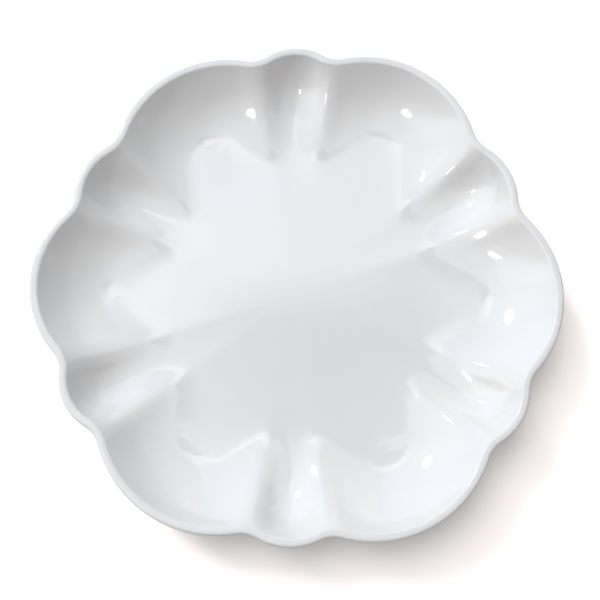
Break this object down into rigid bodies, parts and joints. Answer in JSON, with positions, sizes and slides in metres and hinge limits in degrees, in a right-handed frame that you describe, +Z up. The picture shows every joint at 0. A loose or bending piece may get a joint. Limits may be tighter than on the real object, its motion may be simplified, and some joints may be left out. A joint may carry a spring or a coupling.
{
  "type": "scalloped dessert plate",
  "caption": "Shallow dessert plate with a scalloped outline: large and small petals alternate, rounded ridges run in from the notches, and a round foot ring carries it.",
  "frame": {"origin": "on the table, at the middle of the foot ring's resting face, under the middle of the plate", "axes": "+Z up out of the dish; +X through the middle of one large petal"},
  "size_m": [0.1999, 0.1926, 0.024],
  "materials": {
    "white_glaze": "clear glossy glaze over white porcelain",
    "foot": "glazed sides with a bare, ground resting face"
  },
  "bodies": {
    "root": {"dish": "white_glaze", "foot_ring": "foot"}
  },
  "joints": []
}
